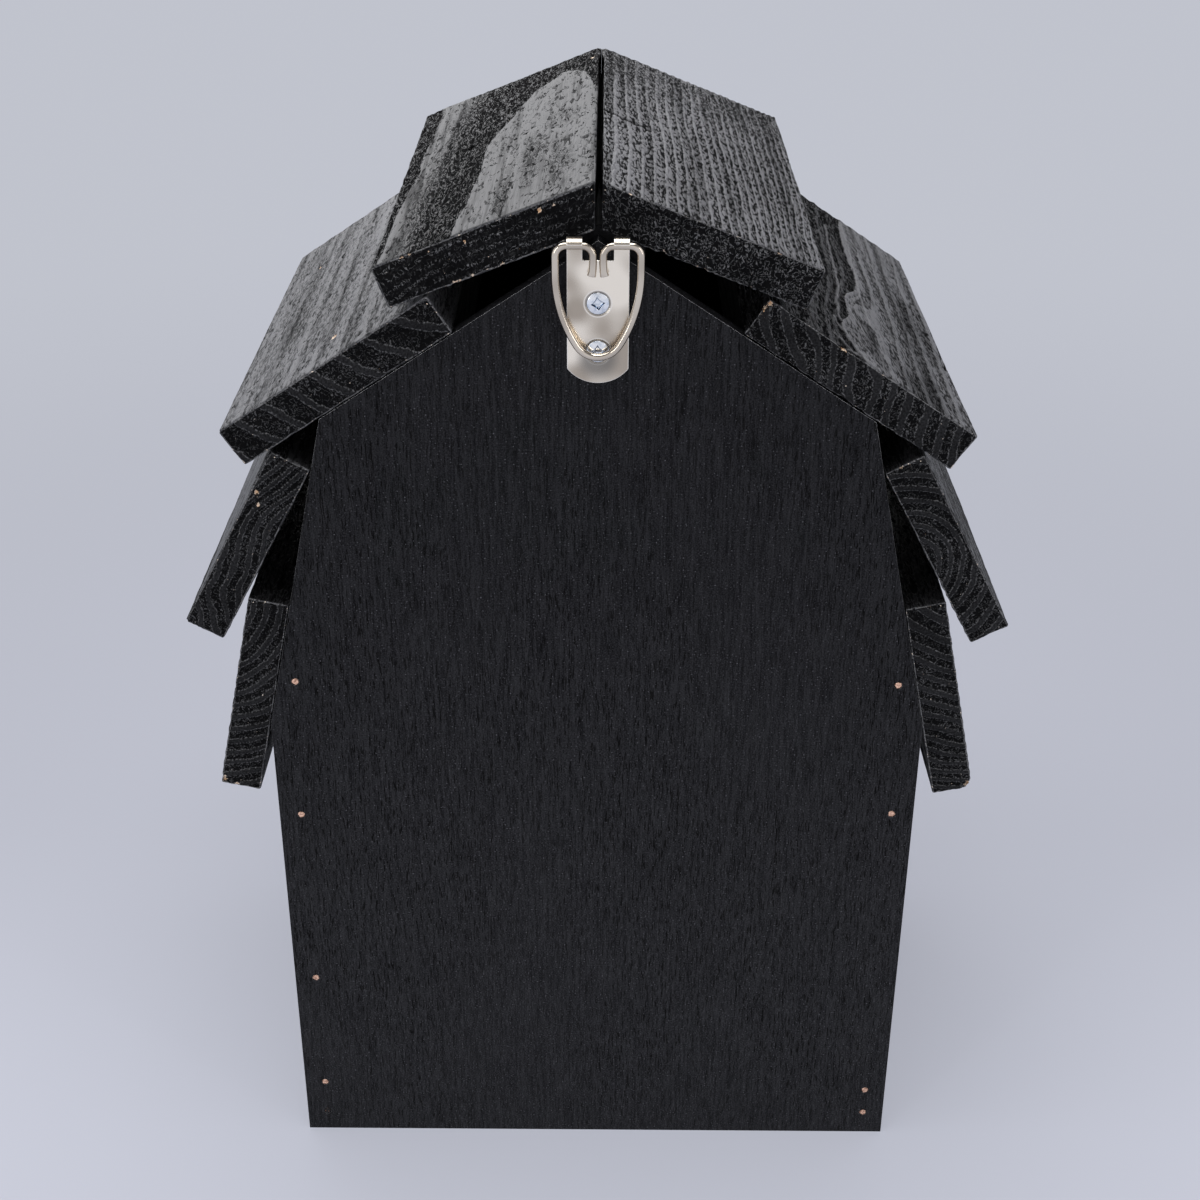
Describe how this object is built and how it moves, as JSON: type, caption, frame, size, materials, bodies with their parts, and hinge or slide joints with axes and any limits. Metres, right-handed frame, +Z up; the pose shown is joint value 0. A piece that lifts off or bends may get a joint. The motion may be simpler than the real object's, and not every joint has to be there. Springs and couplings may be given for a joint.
{
  "type": "bat box",
  "caption": "Gable-topped timber bat box with lapped side boards, roosting crevices inside and a swinging wire loop to hang it by.",
  "frame": {"origin": "centre of the whole box at the level of its lower edge", "axes": "+Z up, -Y the rear that hangs against the wall, +X to the right seen from the rear"},
  "size_m": [0.2886, 0.2066, 0.395],
  "materials": {
    "stained_plywood": "matt black stain on fine-grained plywood",
    "stained_board": "matt black stain on rough-sawn softwood",
    "bare_timber": "unstained rough-sawn softwood",
    "plated_steel": "satin nickel plating",
    "zinc_steel": "bright zinc plating",
    "coppered_pin": "dulled copper wash"
  },
  "bodies": {
    "box": {"back_panel": "stained_plywood", "front_panel": "stained_plywood", "left_side_wall": "stained_board", "right_side_wall": "stained_board", "left_cheek": "stained_board", "right_cheek": "stained_board", "left_gable_rail": "stained_board", "right_gable_rail": "stained_board", "ridge_beam": "stained_board", "roost_partition_1": "bare_timber", "roost_partition_2": "bare_timber", "roost_partition_3": "bare_timber", "roost_partition_4": "bare_timber", "ridge_board_left": "stained_board", "ridge_board_right": "stained_board", "second_board_left": "stained_board", "second_board_right": "stained_board", "upper_side_board_left": "stained_board", "upper_side_board_right": "stained_board", "lower_side_board_left": "stained_board", "lower_side_board_right": "stained_board", "hanger_plate": "plated_steel", "hanger_screws": "zinc_steel", "rear_panel_pins": "coppered_pin", "front_panel_pins": "coppered_pin"},
    "bail": {"hanger_bail": "plated_steel"}
  },
  "joints": [
    {"name": "hanger_bail_hinge", "type": "hinge", "parent": "box", "child": "bail", "pos_m": [0, -0.10048, 0.3754], "axis": [-1, 0, 0], "range_deg": [0, 178]}
  ]
}
